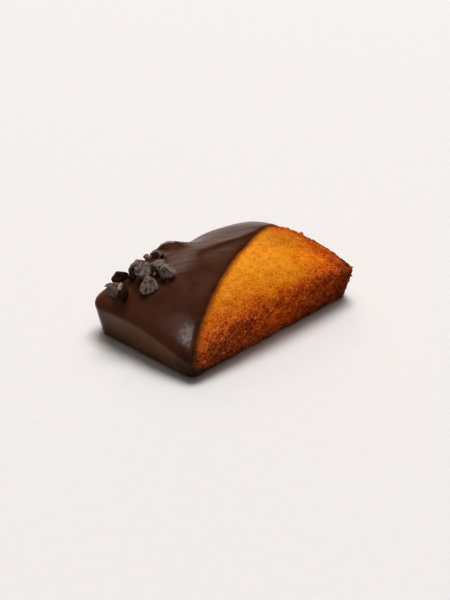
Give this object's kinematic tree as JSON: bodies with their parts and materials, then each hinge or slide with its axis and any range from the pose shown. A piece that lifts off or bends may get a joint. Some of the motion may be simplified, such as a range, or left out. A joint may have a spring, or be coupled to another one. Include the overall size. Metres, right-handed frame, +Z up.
{
  "type": "financier cake",
  "caption": "Small oblong domed almond cake, one long half dipped at a slant in dark chocolate, with cocoa nibs set in the coated end.",
  "frame": {"origin": "middle of the underside", "axes": "+X along the cake's length, towards the end that is half bare; +Y across it, towards the coated long side; +Z up"},
  "size_m": [0.0711, 0.0442, 0.0244],
  "materials": {
    "cake": "baked almond sponge, golden on the top and browned at the rim and sides, fine open crumb",
    "chocolate": "dark chocolate set to a soft satin sheen",
    "nibs": "roasted cocoa nibs, dusty grey-brown and matte"
  },
  "bodies": {
    "root": {"cake": "cake", "chocolate_coating": "chocolate"}
  },
  "joints": []
}
